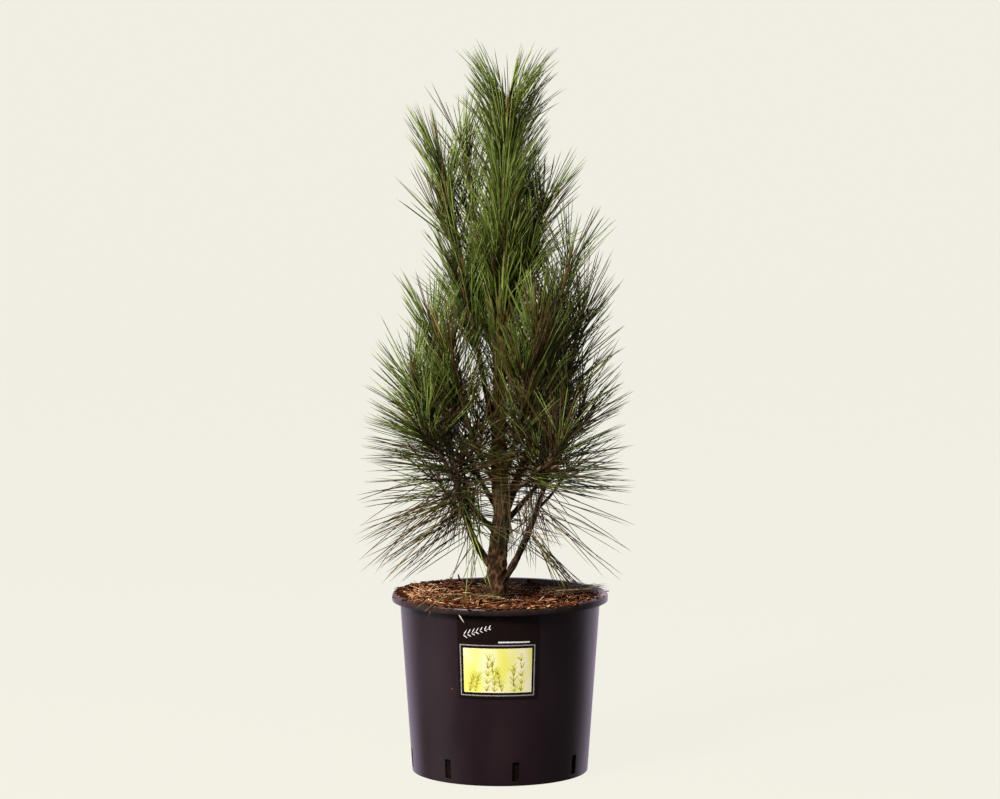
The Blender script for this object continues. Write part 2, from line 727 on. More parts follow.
def lay_slivers(name, count, length, width, thin, tilt, curl, shares, seed):
    """Slivers that lie on the mulch inside the pot's wall, clear of the trunk's foot. They take
    the first browns, as many as there are shares, paler in patches and towards the left."""
    dice = np.random.default_rng(seed)
    far = inner_radius(MULCH_EDGE) - WALL_CLEAR
    radius = far * np.sqrt(dice.uniform(0.012, 1, count))
    turn = dice.uniform(0, 2 * np.pi, count)
    heading = dice.uniform(0, 2 * np.pi, count)
    lengths = dice.uniform(*length, count)
    spot = np.stack([radius * np.cos(turn), radius * np.sin(turn)], 1)
    way = np.stack([np.cos(heading), np.sin(heading)], 1)
    ends = spot + way * lengths[:, None]
    keep = (np.linalg.norm(ends, axis=1) < far) & (radius > TRUNK_CLEAR)
    keep &= np.linalg.norm(spot + way * lengths[:, None] / 2, axis=1) > TRUNK_CLEAR
    spot, way, lengths = spot[keep], way[keep], lengths[keep]
    count = len(spot)
    rise = dice.normal(0, tilt, count)
    height = mulch_height(spot[:, 0], spot[:, 1]) + dice.uniform(-0.0030, 0.0018, count)
    roots = np.column_stack([spot, height])
    ways = np.column_stack([way, rise])
    bends = np.column_stack([dice.normal(0, curl, (count, 2)), -np.abs(dice.normal(0, 0.1, count))])
    patch = 1.1 * np.sin(70 * spot[:, 0] + 1) * np.cos(62 * spot[:, 1]) - 3.5 * spot[:, 0] - 0.15
    patch += 1.5 * np.clip((-spot[:, 0] - 0.072) / 0.02, 0, 1) + dice.normal(0, 0.4, count)
    shades = dice.choice(len(shares), count, p=shares) + np.round(patch * 0.9).astype(int)
    shades = np.clip(shades, 0, len(shares) - 1)
    piece = spindles(
        name, roots, ways, lengths, dice.uniform(*width, count), browns, 4, SLIVER_PROFILE,
        shades=shades, bends=bends, flat=thin)
    print(name, count, "slivers,", triangles(piece), "triangles")


lay_slivers("mulch_flakes", 750, (0.008, 0.020), (0.0035, 0.0070), thin=0.22, tilt=0.34,
            curl=0.12, shares=(0.38, 0.32, 0.22, 0.08), seed=27)
lay_slivers("mulch_chips", 2400, (0.005, 0.015), (0.0014, 0.0042), thin=0.4, tilt=0.34,
            curl=0.20, shares=(0.34, 0.30, 0.22, 0.11, 0.03), seed=21)
lay_slivers("mulch_fibres", 1500, (0.008, 0.026), (0.0006, 0.0014), thin=0.8, tilt=0.25,
            curl=0.35, shares=(0.20, 0.22, 0.24, 0.20, 0.14), seed=22)

# %% Chips on the rim
CHIP_PROFILE = ((0, 0.55), (0.3, 1), (0.8, 0.7))
CHIP_LIFT = 0.0006
INSIDE_RIM = 0.004


def chips_on_rim(name, count, middle, spread, outer, shares, seed):
    """Small chips that lie on the rounded lip about one bearing, given in degrees, and no further
    out than a radius."""
    dice = np.random.default_rng(seed)
    turns = math.radians(middle) + dice.normal(0, spread, count)
    radius = dice.uniform(inner_radius(POT_HEIGHT) - INSIDE_RIM, outer, count)
    rounding = np.clip(radius - RIM_RADIUS + LIP_ROUND, 0, LIP_ROUND)
    heights = POT_HEIGHT - LIP_ROUND + np.sqrt(LIP_ROUND**2 - rounding**2) + CHIP_LIFT
    headings = turns + math.pi / 2 + dice.normal(0, 0.6, count)
    roots = np.column_stack([radius * np.cos(turns), radius * np.sin(turns), heights])
    ways = np.column_stack([np.cos(headings), np.sin(headings), dice.normal(0.0, 0.10, count)])
    shades = dice.choice(len(browns), count, p=shares)
    lengths = dice.uniform(0.003, 0.008, count)
    widths = dice.uniform(0.0012, 0.0032, count)
    chips = spindles(
        name, roots, ways, lengths, widths, browns, 4, CHIP_PROFILE, shades=shades, flat=0.5)
    print(name, count, "chips,", triangles(chips), "triangles")


chips_on_rim("rim_chips", 900, middle=-93, spread=0.60, outer=RIM_RADIUS,
             shares=(0.42, 0.34, 0.16, 0.06, 0.02), seed=24)
chips_on_rim("rim_chips_left", 380, middle=165, spread=0.33, outer=RIM_RADIUS - 0.005,
             shares=(0.62, 0.26, 0.10, 0.02, 0), seed=25)

# %% [markdown]
# Trunk and boughs grow by the same rule as the solids: the trunk tapers along a slightly swaying
# line with a knee at the lowest fork, and each bough is one smooth curve that leaves the trunk and
# soon turns upwards. A bough and the foliage stem beyond it share that curve. The table gives each
# bough's height on the trunk, its bearing and its rise in degrees, the place of its bud, the share
# of its length that is bare, and its radius.

# %% The shoots' curves
SEAT = MULCH_EDGE - MULCH_HOLLOW + 0.0003
TRUNK_TOP = 0.866
TRUNK_X = (-0.0045, 0.0096)
TRUNK_SWAY = (-0.0025, 0.004)
TRUNK_KNEE, KNEE_HEIGHT, KNEE_REACH = 0.006, 0.335, 0.038
TRUNK_TIP, TRUNK_GROWTH, TRUNK_TAPER = 0.0022, 0.0116, 1.2
ROOT_FLARE, FLARE_HEIGHT = 0.0022, 0.012
BOUGHS = {
    "left_low": (0.258, 184, 45, (-0.087, -0.020, 0.586), 0.17, 0.0058),
    "right_low": (0.236, 354, 51, (0.109, 0.006, 0.608), 0.24, 0.0052),
    "left_out": (0.306, 206, 38, (-0.114, -0.045, 0.526), 0.26, 0.0042),
    "right_out": (0.318, 336, 45, (0.112, 0.044, 0.488), 0.26, 0.0042),
    "right_high": (0.338, 14, 60, (0.092, -0.012, 0.677), 0.24, 0.0055),
    "back_left": (0.330, 130, 45, (-0.078, 0.082, 0.505), 0.24, 0.0042),
    "back_right": (0.318, 62, 45, (0.066, 0.098, 0.530), 0.24, 0.0042),
    "right_front": (0.351, 310, 38, (0.078, -0.066, 0.440), 0.26, 0.0034),
    "front_left": (0.368, 228, 40, (-0.063, -0.062, 0.556), 0.24, 0.0038),
    "front_right": (0.374, 302, 48, (0.050, -0.062, 0.596), 0.24, 0.0038),
    "left_high": (0.426, 166, 74, (-0.077, 0.010, 0.797), 0.24, 0.0048),
    "back_mid": (0.440, 78, 62, (0.006, 0.084, 0.650), 0.20, 0.0040),
    "front_high": (0.556, 262, 67, (0.004, -0.034, 0.760), 0.18, 0.0034),
    "right_top": (0.562, 344, 64, (0.057, -0.004, 0.742), 0.18, 0.0034),
    "back_high": (0.570, 76, 66, (0.020, 0.050, 0.770), 0.18, 0.0034),
    "left_top": (0.588, 146, 62, (-0.050, 0.034, 0.818), 0.18, 0.0032),
}
BOUGH_TIP_SHARE = 0.72
BUD_LEAN = 0.24
LEAVE_PULL, ARRIVE_PULL = 0.28, 0.34
CURVE_POINTS = 241
LEADER_SPANS = {
    "leader_low": (0.392, 0.470), "leader_mid": (0.470, 0.600), "leader_top": (0.600, 0.875),
}


def trunk_centre(z):
    share = (z - SEAT) / (TRUNK_TOP - SEAT)
    sway = math.sin(math.pi * share) * math.cos(math.pi * share / 2)
    knee = TRUNK_KNEE * math.exp(-(((z - KNEE_HEIGHT) / KNEE_REACH) ** 2))
    x = TRUNK_X[0] + (TRUNK_X[1] - TRUNK_X[0]) * share + TRUNK_SWAY[0] * sway + knee
    return np.array((x, TRUNK_SWAY[1] * sway, z))


def trunk_radius(z):
    share = min((z - SEAT) / (TRUNK_TOP - SEAT), 1)
    flare = ROOT_FLARE * math.exp((SEAT - z) / FLARE_HEIGHT)
    return TRUNK_TIP + TRUNK_GROWTH * (1 - share) ** TRUNK_TAPER + flare


def shoot_curve(height, bearing, rise, bud):
    """A curve from the trunk's middle to the bud, where it ends nearly upright."""
    start = trunk_centre(height)
    end = np.array(bud)
    chord = np.linalg.norm(end - start)
    turn, lift = math.radians(bearing), math.radians(rise)
    level = math.cos(lift)
    leave = np.array((math.cos(turn) * level, math.sin(turn) * level, math.sin(lift)))
    out = unit(np.array((end[0] - start[0], end[1] - start[1], 0)))
    arrive = unit(out * BUD_LEAN + np.array((0, 0, 1)))
    t = np.linspace(0, 1, CURVE_POINTS)[:, None]
    b = start + leave * chord * LEAVE_PULL
    c = end - arrive * chord * ARRIVE_PULL
    return start * (1 - t) ** 3 + 3 * b * t * (1 - t) ** 2 + 3 * c * t**2 * (1 - t) + end * t**3


def stretch(points, first, last, step, crowd=1.0):
    """Points of a line between two shares of its length: even, or closer at its end if crowd is
    under 1."""
    along = np.concatenate([[0], np.cumsum(np.linalg.norm(np.diff(points, axis=0), axis=1))])
    count = max(int((last - first) * along[-1] / step), 3)
    wanted = (first + (last - first) * np.linspace(0, 1, count + 1) ** crowd) * along[-1]
    return np.stack([np.interp(wanted, along, points[:, axis]) for axis in range(3)], axis=1)


# %% [markdown]
# A limb is a curve with a round bevel whose radius changes from point to point. Once it is a mesh,
# a stretched cell pattern pushes its surface in and out by a millimetre or so, which gives the
# scaly plates of young pine bark.

# %% Limbs from curves


def limbs(name, lines, smoothness):
    """One mesh for several tapering limbs, each a line of points with a radius at each."""
    curve = bpy.data.curves.new(name, "CURVE")
    curve.dimensions = "3D"
    curve.bevel_depth = 1.0
    curve.bevel_resolution = smoothness
    curve.use_fill_caps = True
    for points, radii in lines:
        spline = curve.splines.new("POLY")
        spline.points.add(len(points) - 1)
        for knot, point, radius in zip(spline.points, points, radii):
            knot.co = (*point, 1)
            knot.radius = radius
    piece = bpy.data.objects.new(name, curve)
    bpy.context.collection.objects.link(piece)
    pick(piece)
    bpy.ops.object.convert(target="MESH")
    edit(piece)
    bpy.ops.mesh.select_all(action="SELECT")
    bpy.ops.mesh.remove_doubles(threshold=1e-6)
    bpy.ops.mesh.normals_make_consistent(inside=False)
    leave_edit()
    return piece


# %% Bark relief
TRUNK_RELIEF = 0.0016
BOUGH_RELIEF = 0.0010

plates = bpy.data.textures.new("bark_plates", "VORONOI")
plates.noise_scale = 0.0075
plates.distance_metric = "DISTANCE"
knobs = bpy.data.textures.new("bark_knobs", "CLOUDS")
knobs.noise_scale = 0.012
bpy.ops.object.empty_add(location=(0, 0, 0), scale=(1, 1, 2.2))
stretcher = bpy.context.object
bpy.context.view_layer.update()


def roughen(piece, depth):
    """Pushes the surface in and out by about the depth, with two patterns together."""
    for texture, share in ((plates, 1.0), (knobs, 1.2)):
        push = piece.modifiers.new("relief", "DISPLACE")
        push.texture = texture
        push.texture_coords = "OBJECT"
        push.texture_coords_object = stretcher
        push.strength = depth * share
        push.mid_level = 0.5
    apply_all(piece)
    bpy.ops.object.shade_smooth()


# %% The bark's colours


def make_bark(name, light):
    """Scaly bark: dark and stained at its foot, older below and smoother and tanner above."""
    def tint(*colour):
        return tuple(light * share for share in colour)

    bark = Finish(name, tint(0.16, 0.09, 0.045), 0.85)
    flake = bark.cells(210.0, (1, 1, 0.6))
    tone = bark.noise(75.0, 8.0, (1, 1, 0.6))
    brown = bark.between(tint(0.060, 0.029, 0.008), tint(0.280, 0.158, 0.066), tone)
    old = bark.between(tint(0.020, 0.008, 0.003), brown, flake * 0.5 + tone * 0.35)
    young = bark.between(tint(0.075, 0.044, 0.010), tint(0.250, 0.155, 0.045), tone)
    height = bark.coordinate(UP)
    foot = bark.between(tint(0.028, 0.011, 0.004), old, (height - MULCH_EDGE) * 18 + tone * 0.5)
    bark.feed("Base Color", bark.between(foot, young, height * 2.5 - 0.50))
    bark.feed("Specular IOR Level", 0.15)
    bark.bump(flake * 0.7 + tone * 0.6, 0.0022, 0.9)
    return bark.material


# %% The trunk
TRUNK_RINGS = 320
CROWDED_AT_FOOT = 1.15

heights = SEAT + (TRUNK_TOP - SEAT) * np.linspace(0, 1, TRUNK_RINGS) ** CROWDED_AT_FOOT
centres = np.array([trunk_centre(z) for z in heights])
trunk = limbs("trunk_bark", [(centres, [trunk_radius(z) for z in heights])], smoothness=12)
roughen(trunk, TRUNK_RELIEF)
trunk.data.materials.append(make_bark("bark", 1.0))
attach(trunk, "root")
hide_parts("trunk")
print("trunk", triangles(trunk), "triangles")

# %% The boughs
BOUGH_STEP = 0.0022

curves = {name: shoot_curve(*values[:4]) for name, values in BOUGHS.items()}
lines = []
for name, (_, _, _, _, bare, radius) in BOUGHS.items():
    points = stretch(curves[name], 0, bare, BOUGH_STEP)
    lines.append((points, np.linspace(radius, radius * BOUGH_TIP_SHARE, len(points))))
boughs = limbs("bough_bark", lines, smoothness=8)
roughen(boughs, BOUGH_RELIEF)
boughs.data.materials.append(make_bark("bough_bark", 0.6))
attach(boughs, "root")
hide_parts(*[f"bough_{name}" for name in BOUGHS])
bpy.data.objects.remove(stretcher)
print(len(BOUGHS), "boughs", triangles(boughs), "triangles")

# %% [markdown]
# The foliage: every stem carries side twigs, turned round it by the golden angle, and every stem
# and twig carries pairs of needles in the same spiral. Low on the plant the needles are long and
# hang a little, higher up they are shorter and steeper, and round a bud they spread like a brush.

# %% The needles' sizes and angles
NEEDLE_HEIGHTS = (0.31, 0.35, 0.39, 0.44, 0.52, 0.62, 0.72, 0.90)
NEEDLE_ANGLES = (118, 100, 78, 53, 41, 35, 32, 28)
NEEDLE_LENGTHS = (0.150, 0.136, 0.118, 0.100, 0.091, 0.087, 0.088, 0.090)
NEEDLE_BUD_LENGTH = 0.086
ANGLE_AT_BUD = math.radians(30)
BUD_FROM = 0.55
NEEDLE_WIDTH = 0.00135
TOWARDS_BUD = 0.82
NEEDLE_SIDES = 3
NEEDLE_PROFILE = ((0, 0.8), (0.42, 1), (0.84, 0.7))
GOLDEN_TURN = math.radians(137.5)
KEPT_HEIGHTS = (0.30, 0.36, 0.42, 0.50)
KEPT_SHARES = (0.55, 0.80, 1.00, 1.00)
KEPT_IN_FRONT = 0.6
LOW_FROM, LOW_SPAN = 0.48, 0.12
OLD_INSIDE_FROM, OLD_INSIDE_SPAN = 0.50, 0.08
TURN_JITTER = 0.25
ANGLE_JITTER = 0.11
ANGLE_LIMITS = (0.06, 2.3)
LENGTH_SHARES = (0.84, 1.03)
PAIR_GAP = 0.0005
PAIR_SPREAD, SPREAD_JITTER = 0.07, 0.03
BEND_JITTER = 0.03
DROOP = 0.10

# %% [markdown]
# A needle has one plain colour. Six are enough, because a dice deals them out needle by needle: the
# shoots in the sun get more of the light greens, the shaded and the low ones more of the browns.
# The shares below stand in the same order as the colours.

# %% The needles' colours
NEEDLE_COLOURS = {
    "needle_sun": (0.255, 0.330, 0.075),
    "needle_green": (0.126, 0.176, 0.028),
    "needle_deep": (0.054, 0.074, 0.009),
    "needle_brown": (0.096, 0.060, 0.016),
    "needle_shade": (0.030, 0.020, 0.005),
    "needle_straw": (0.340, 0.220, 0.085),
}
needle_finishes = []
for name, colour in NEEDLE_COLOURS.items():
    needle = Finish(name, colour, 0.45)
    needle.feed("Specular IOR Level", 0.25)
    needle_finishes.append(needle.material)
SHARES = {
    "sunny": (0.18, 0.44, 0.26, 0.04, 0.07, 0.01),
    "even": (0.14, 0.36, 0.33, 0.08, 0.08, 0.01),
    "dull": (0.04, 0.19, 0.30, 0.28, 0.18, 0.01),
    "old": (0.02, 0.06, 0.16, 0.42, 0.33, 0.01),
    "dry": (0.00, 0.02, 0.08, 0.38, 0.38, 0.14),
    "bleached": (0.00, 0.00, 0.00, 0.20, 0.00, 0.80),
}
print(len(needle_finishes), "needle colours")

# %% Needles along one line
ANY_WAY = (0.31, 0.22, -0.92)


def line_frames(points):
    """The line's direction at each point and two directions across it, without any twist."""
    along = unit(np.gradient(points, axis=0))
    side = np.cross(along[0], ANY_WAY)
    sides = []
    for tangent in along:
        side = unit(side - tangent * side.dot(tangent))
        sides.append(side)
    sides = np.array(sides)
    return along, sides, np.cross(along, sides)


def grow(points, at_foot, radius, shares, spacing, leans, longer, dice):
    """Needle pairs along one line: their roots, ways, lengths, bends and colour numbers. at_foot
    says how far up its shoot the line starts. leans scales the needles' angles below the bud and
    at it, and longer scales their lengths. Low down, most needles are old and some are gone."""
    line = stretch(points, 0, 1, spacing, TOWARDS_BUD)
    along, side, over = line_frames(line)
    count = len(line)
    rank = np.arange(count)
    up_shoot = at_foot + (1 - at_foot) * rank / (count - 1)
    near_bud = np.clip((up_shoot - BUD_FROM) / (1 - BUD_FROM), 0, 1)
    turn = rank * GOLDEN_TURN + dice.normal(0, TURN_JITTER, count)
    out = side * np.cos(turn)[:, None] + over * np.sin(turn)[:, None]
    angle = np.radians(np.interp(line[:, 2], NEEDLE_HEIGHTS, NEEDLE_ANGLES))
    angle = angle * leans[0] * (1 - near_bud) + ANGLE_AT_BUD * leans[1] * near_bud
    angle += dice.normal(0, ANGLE_JITTER, count)
    angle = np.clip(angle, *ANGLE_LIMITS)
    length = np.interp(line[:, 2], NEEDLE_HEIGHTS, NEEDLE_LENGTHS)
    length += (NEEDLE_BUD_LENGTH - length) * near_bud
    length *= dice.uniform(*LENGTH_SHARES, count) * longer
    axis = unit(along + np.array((0, 0, 1)))
    flat = unit(out - axis * (out * axis).sum(1)[:, None])
    way = axis * np.cos(angle)[:, None] + flat * np.sin(angle)[:, None]
    cross = unit(np.cross(way, axis))
    low = np.clip((LOW_FROM - line[:, 2]) / LOW_SPAN, 0, 1)
    low_inside = np.clip((OLD_INSIDE_FROM - line[:, 2]) / OLD_INSIDE_SPAN, 0, 1)
    inward = (line * out)[:, :2].sum(axis=1) < 0.15 * np.linalg.norm(line[:, :2], axis=1)
    old = dice.random(count) < np.where(inward, low_inside, low * (1 - 1.2 * shares[0]))
    old_shade = dice.choice(len(NEEDLE_COLOURS), count, p=SHARES["old"])
    shade = np.where(old, old_shade, dice.choice(len(NEEDLE_COLOURS), count, p=shares))
    wanted = np.interp(line[:, 2], KEPT_HEIGHTS, KEPT_SHARES)
    wanted *= np.where(out[:, 1] < -0.5, KEPT_IN_FRONT, 1)
    stay = dice.random(count) < wanted
    rows = []
    for hand in (-1, 1):
        spread = cross * (dice.normal(PAIR_SPREAD, SPREAD_JITTER, count) * hand)[:, None]
        bend = dice.normal(0, BEND_JITTER, (count, 3))
        bend[:, 2] -= low * dice.uniform(0, DROOP, count)
        root = line + out * (radius * 0.8) + cross * (PAIR_GAP * hand)
        rows.append((root, unit(way + spread), length * dice.uniform(0.95, 1, count), bend, shade))
    return [np.concatenate([part[stay] for part in group]) for group in zip(*rows)]


# %% [markdown]
# Not every needle that the rule grows may stay. Needles end above the mulch and clear of the pot's
# rim, and hardly past the solids' reach. Here and there they are thinned, where the real crown
# lets daylight or its leader show.

# %% Which needles stay
NEEDLE_CLEAR = 0.002
RIM_CLEAR = 0.004
WALL_TOP_CLEAR = 0.005
PAST_SOLIDS = 0.004


def on_needles(roots, ways, lengths, bends, share):
    """The point of each needle at a share of its length."""
    return roots + (ways + bends * share) * (lengths * share)[:, None]


def clear_of_pot(*needles):
    """True for needles that stay above the pot's rim or, within it, above the mulch. Outside the
    rim they may hang lower."""
    keep = np.ones(len(needles[0]), dtype=bool)
    for share in (0.4, 0.5, 0.6, 0.7, 0.8, 0.9, 1.0):
        points = on_needles(*needles, share)
        from_axis = np.linalg.norm(points[:, :2], axis=1)
        within = from_axis < inner_radius(POT_HEIGHT) - WALL_TOP_CLEAR
        mulch = mulch_height(points[:, 0], points[:, 1])
        lowest = np.where(within, mulch, POT_HEIGHT) + NEEDLE_CLEAR
        keep &= (from_axis > RIM_RADIUS + RIM_CLEAR) | (points[:, 2] > lowest)
    return keep


def inside_box(*needles):
    tips = on_needles(*needles, 1)
    low = np.array(cad_box[0]) - PAST_SOLIDS
    high = np.array(cad_box[1]) + PAST_SOLIDS
    return ((tips > low) & (tips < high)).all(axis=1)


OPENINGS = (
    (-0.142, 0.345, 0.014, 0.60),
    (-0.070, 0.849, 0.014, 0.35), (-0.068, 0.821, 0.011, 0.50), (-0.115, 0.758, 0.020, 0.25),
    (-0.091, 0.700, 0.017, 0.60), (-0.051, 0.781, 0.010, 0.60), (-0.050, 0.743, 0.011, 0.40),
    (-0.048, 0.708, 0.010, 0.40), (-0.044, 0.672, 0.009, 0.50), (-0.026, 0.793, 0.010, 0.40),
    (-0.021, 0.749, 0.010, 0.40), (-0.029, 0.715, 0.009, 0.40), (0.007, 0.929, 0.014, 0.40),
    (0.008, 0.905, 0.009, 0.60), (-0.091, 0.665, 0.015, 0.60), (-0.111, 0.652, 0.011, 0.40),
    (0.093, 0.713, 0.015, 0.60), (0.113, 0.703, 0.011, 0.70), (0.084, 0.657, 0.009, 0.60),
    (0.110, 0.650, 0.010, 0.60), (0.131, 0.628, 0.013, 0.45), (0.128, 0.560, 0.014, 0.60),
    (0.059, 0.730, 0.011, 0.60), (0.061, 0.692, 0.010, 0.50), (0.100, 0.566, 0.010, 0.50),
    (0.097, 0.538, 0.010, 0.60), (0.125, 0.484, 0.010, 0.60), (-0.129, 0.581, 0.015, 0.45),
    (-0.134, 0.559, 0.013, 0.50), (0.115, 0.488, 0.011, 0.40), (0.084, 0.384, 0.011, 0.45),
    (0.113, 0.547, 0.010, 0.85), (-0.125, 0.402, 0.015, 0.60), (-0.048, 0.551, 0.010, 0.30),
    (-0.044, 0.523, 0.011, 0.30), (-0.043, 0.465, 0.010, 0.30), (-0.021, 0.493, 0.009, 0.40),
    (-0.021, 0.548, 0.008, 0.40), (-0.050, 0.440, 0.009, 0.40), (0.028, 0.356, 0.010, 0.40),
    (0.002, 0.440, 0.022, 0.65), (0.002, 0.500, 0.019, 0.70), (0.071, 0.341, 0.026, 0.60),
    (0.115, 0.346, 0.018, 0.50), (0.118, 0.425, 0.023, 0.60), (-0.055, 0.847, 0.009, 0.40),
    (-0.168, 0.550, 0.015, 0.50), (-0.165, 0.407, 0.014, 0.70),
)


def through_openings(dice, *needles):
    """Thins the needles in the openings. Each is given by its place across and up, its radius and
    the share of needles that stay in it."""
    count = len(needles[0])
    keep = np.ones(count, dtype=bool)
    for across, up, radius, kept in OPENINGS:
        lost = dice.random(count) > kept
        for share in (0.2, 0.4, 0.6, 0.8, 1.0):
            spot = on_needles(*needles, share)
            keep &= ~(lost & (np.hypot(spot[:, 0] - across, spot[:, 2] - up) < radius))
    return keep


# %% Side twigs
TWIGS = 4
TWIG_SHARE = 0.23
FIRST_TWIG, TWIG_GAP = 0.08, 0.17
TWIG_STEPS = 8
TWIG_LEAVES_AT, TWIG_TURNS_BY = 36, 26


def side_twigs(points, dice):
    """Short lines that leave a stem and bend towards its way, each with its share of the stem."""
    reach = np.linalg.norm(np.diff(points, axis=0), axis=1).sum()
    along, side, over = line_frames(points)
    turn = dice.uniform(0, 2 * math.pi)
    twigs = []
    for k in range(TWIGS):
        share = FIRST_TWIG + TWIG_GAP * k + dice.uniform(0, 0.05)
        ring = int(share * (len(points) - 1))
        turn += GOLDEN_TURN
        out = side[ring] * math.cos(turn) + over[ring] * math.sin(turn)
        length = reach * TWIG_SHARE * (1 - 0.5 * share)
        line = [points[ring]]
        for step in range(TWIG_STEPS):
            bend = math.radians(TWIG_LEAVES_AT - TWIG_TURNS_BY * step / (TWIG_STEPS - 1))
            way = along[ring] * math.cos(bend) + out * math.sin(bend)
            line.append(line[-1] + way * length / TWIG_STEPS)
        twigs.append((np.array(line), share))
    return twigs


# %% [markdown]
# Each foliage mass of the solids gives its lines here: one stem and its twigs, or a stretch of
# the leader. All lines are gathered first. Their needles are then joined by side of the plant, and
# stems, buds and the papery sheaths at the needles' feet become one piece each. The gaps between
# the pairs are in metres, and a mass that isn't named takes the common value.

# %% The masses' light, gaps and leans
LIGHT_ON = {
    "left_low": "sunny", "left_out": "sunny", "front_left": "dull", "left_high": "even",
    "left_top": "even", "front_high": "sunny", "leader_top": "even", "leader_mid": "even",
    "leader_low": "dull", "right_high": "even", "right_top": "even", "right_front": "dull",
    "front_right": "dull", "right_low": "dull", "right_out": "dull", "back_left": "dull",
    "back_right": "dull", "back_mid": "dull", "back_high": "even",
}
SPACING = {
    "leader_top": 0.00054, "left_high": 0.0009, "left_top": 0.00153, "front_high": 0.00126,
    "right_top": 0.00108, "right_high": 0.00117, "left_low": 0.00108, "left_out": 0.00108,
    "right_low": 0.00135, "leader_mid": 0.00108, "leader_low": 0.00117, "front_left": 0.00144,
    "front_right": 0.00162, "right_front": 0.00117,
}
SPACING_ELSEWHERE = 0.0018
LEANS = {
    "leader_top": (0.95, 1.30), "left_high": (0.80, 0.90), "leader_mid": (0.70, 0.80),
    "leader_low": (0.60, 0.75), "front_left": (0.55, 0.62), "front_right": (0.55, 0.62),
    "front_high": (0.65, 0.75), "left_top": (0.85, 0.85), "right_front": (0.85, 0.85),
    "left_out": (1.00, 0.80), "right_out": (0.95, 0.70), "left_low": (1.00, 0.88),
    "right_low": (1.00, 0.88),
}
LONGER = {"leader_top": 1.06, "left_high": 1.05}

# %% Gather the lines of every mass
LINE_STEP = 0.004
STEM_TIP = 0.0021
TWIG_FOOT, TWIG_TIP = 0.0022, 0.0015
BELOW_ITS_FOOT = -0.6

masses = {}
for i, (name, (_, _, _, _, bare, radius)) in enumerate(BOUGHS.items()):
    dice = np.random.default_rng(300 + i)
    points = stretch(curves[name], bare, 1, LINE_STEP)
    own = [(points, 0.0, np.linspace(radius * BOUGH_TIP_SHARE, STEM_TIP, len(points)))]
    for line, share in side_twigs(points, dice):
        own.append((line, share, np.linspace(TWIG_FOOT, TWIG_TIP, len(line))))
    masses[name] = own
for name, (low, high) in LEADER_SPANS.items():
    levels = np.linspace(low, high, int((high - low) / LINE_STEP) + 2)
    points = np.array([trunk_centre(z) for z in levels])
    radii = np.array([trunk_radius(z) for z in points[:, 2]])
    masses[name] = [(points, 0.0 if name == "leader_top" else BELOW_ITS_FOOT, radii)]
print(len(masses), "masses,", sum(len(own) for own in masses.values()), "stems and twigs")

# %% [markdown]
# The longest needles hang from the lowest boughs in loose bundles, which no rule along a line
# gives. Each bundle is a number of needles, the lowest and the highest corner of the space that
# holds their roots, and the same two corners for their tips.

# %% Needles that hang from the lowest boughs
HANGING = {
    "left": (
        (21, (-0.072, -0.03, 0.325), (-0.035, 0.01, 0.385), (-0.187, -0.06, 0.262), (-0.135, 0.04, 0.34)),
        (9, (-0.06, -0.03, 0.3), (-0.03, 0.01, 0.345), (-0.15, -0.05, 0.24), (-0.095, 0.03, 0.27)),
        (8, (-0.036, -0.012, 0.29), (-0.022, 0.01, 0.33), (-0.07, -0.04, 0.24), (-0.03, 0.01, 0.256)),
        (8, (-0.085, -0.04, 0.345), (-0.05, 0.01, 0.4), (-0.19, -0.05, 0.3), (-0.18, 0.02, 0.385)),
        (110, (-0.06, -0.02, 0.345), (-0.025, 0.01, 0.4), (-0.095, -0.05, 0.29), (-0.02, 0.01, 0.345)),
    ),
    "middle": (
        (16, (-0.002, -0.014, 0.35), (0.014, -0.009, 0.42), (-0.014, -0.05, 0.262), (0.026, -0.02, 0.31)),
    ),
    "right": (
        (22, (0.03, -0.02, 0.283), (0.056, 0.012, 0.318), (0.068, -0.035, 0.2295), (0.12, 0.03, 0.235)),
        (6, (0.036, -0.03, 0.31), (0.06, 0.02, 0.35), (0.115, -0.055, 0.258), (0.178, 0.04, 0.315)),
        (46, (0.02, -0.02, 0.33), (0.055, 0.01, 0.39), (0.016, -0.05, 0.262), (0.082, 0.01, 0.345)),
        (19, (0.03, -0.02, 0.365), (0.062, 0.02, 0.4), (0.085, -0.055, 0.345), (0.16, 0.04, 0.395)),
    ),
}
SUNLIT_TUFT = (34, (0.03, -0.05, 0.378), (0.052, -0.03, 0.402), (0.072, -0.085, 0.362), (0.116, -0.04, 0.4))


def hang(count, root_low, root_high, tip_low, tip_high, light, dice, sag=0.10):
    """Needles that reach from one small space to another, in rows like those of grow."""
    roots = dice.uniform(root_low, root_high, (count, 3))
    reach = dice.uniform(tip_low, tip_high, (count, 3)) - roots
    lengths = np.linalg.norm(reach, axis=1)
    bends = np.column_stack([dice.normal(0, sag * 0.3, (count, 2)), -dice.uniform(0.2, 1, count) * sag])
    shades = dice.choice(len(NEEDLE_COLOURS), count, p=SHARES[light])
    return [roots, unit(reach / lengths[:, None] - bends), lengths, bends, shades]


